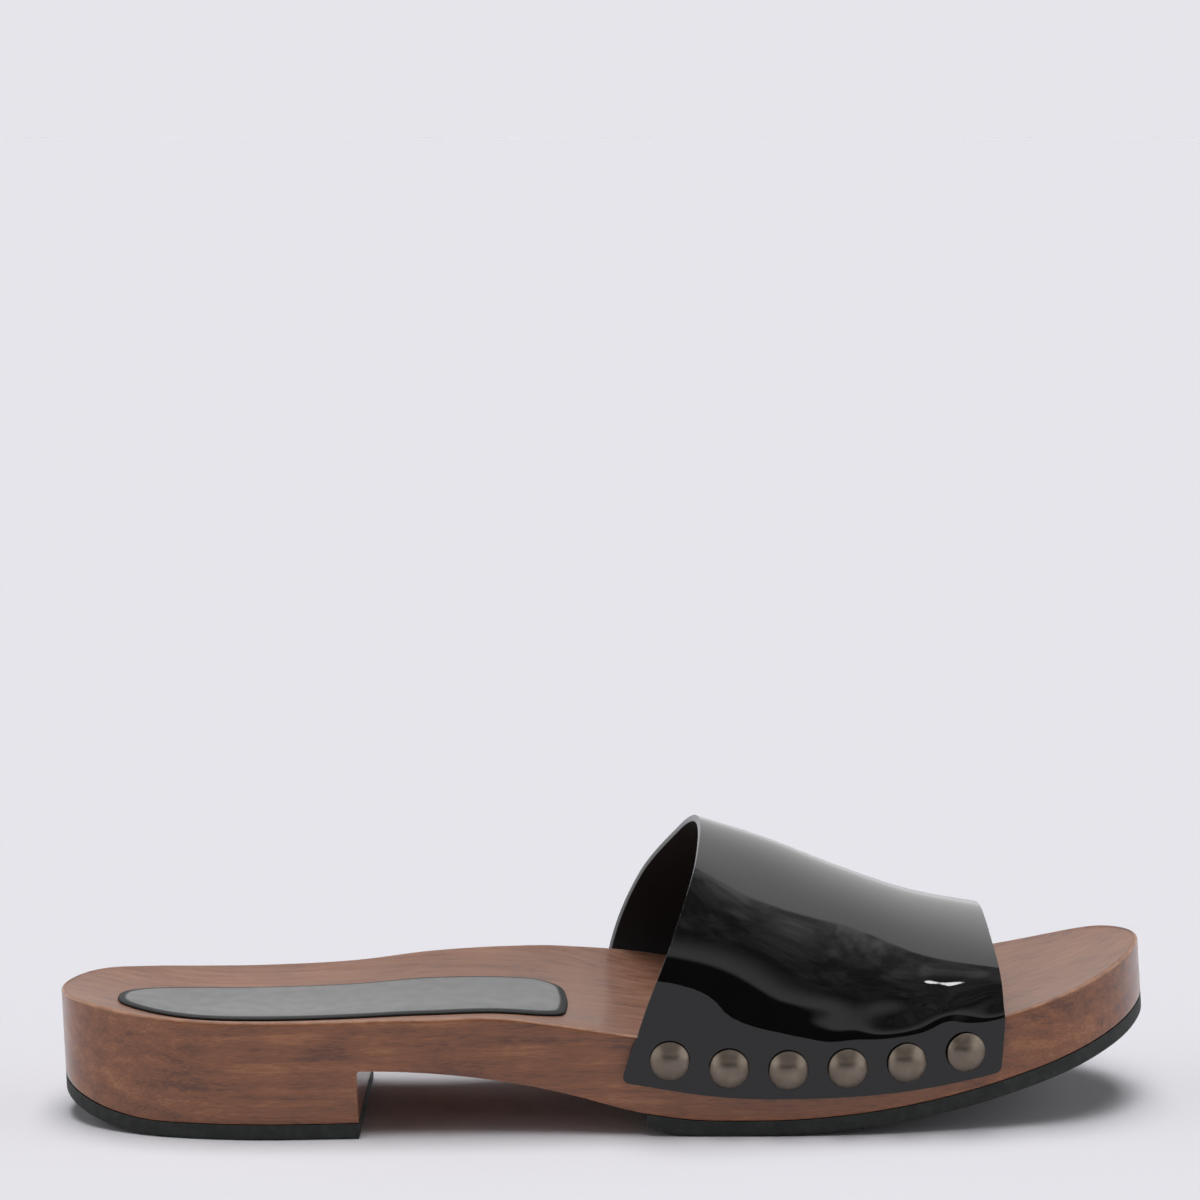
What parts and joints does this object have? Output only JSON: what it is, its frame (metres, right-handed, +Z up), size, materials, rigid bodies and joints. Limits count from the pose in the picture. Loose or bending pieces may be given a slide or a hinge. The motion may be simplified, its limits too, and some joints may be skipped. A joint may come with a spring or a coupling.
{
  "type": "wooden clog sandal",
  "caption": "Open-heeled slip-on with a low carved wooden sole, rubber treads, a padded leather heel pad and one wide studded patent leather strap over the foot.",
  "frame": {"origin": "on the floor under the middle of the shoe's box", "axes": "+X from heel to toe along the heel's own axis, +Y to the inner side of the foot, +Z up"},
  "size_m": [0.2622, 0.0988, 0.0691],
  "materials": {
    "wood": "walnut-stained close-grained wood under satin varnish",
    "rubber": "matt black moulded rubber sheet",
    "padding": "soft black leather over thin padding, satin",
    "patent": "black patent leather, high gloss outside and matt lining inside",
    "stud": "antiqued bronze, brushed satin"
  },
  "bodies": {
    "root": {"wood_sole": "wood", "heel_tread": "rubber", "forefoot_tread": "rubber", "heel_pad": "padding", "strap": "patent", "stud_outer_1": "stud", "stud_outer_2": "stud", "stud_outer_3": "stud", "stud_outer_4": "stud", "stud_outer_5": "stud", "stud_outer_6": "stud", "stud_inner_1": "stud", "stud_inner_2": "stud", "stud_inner_3": "stud", "stud_inner_4": "stud", "stud_inner_5": "stud", "stud_inner_6": "stud"}
  },
  "joints": []
}
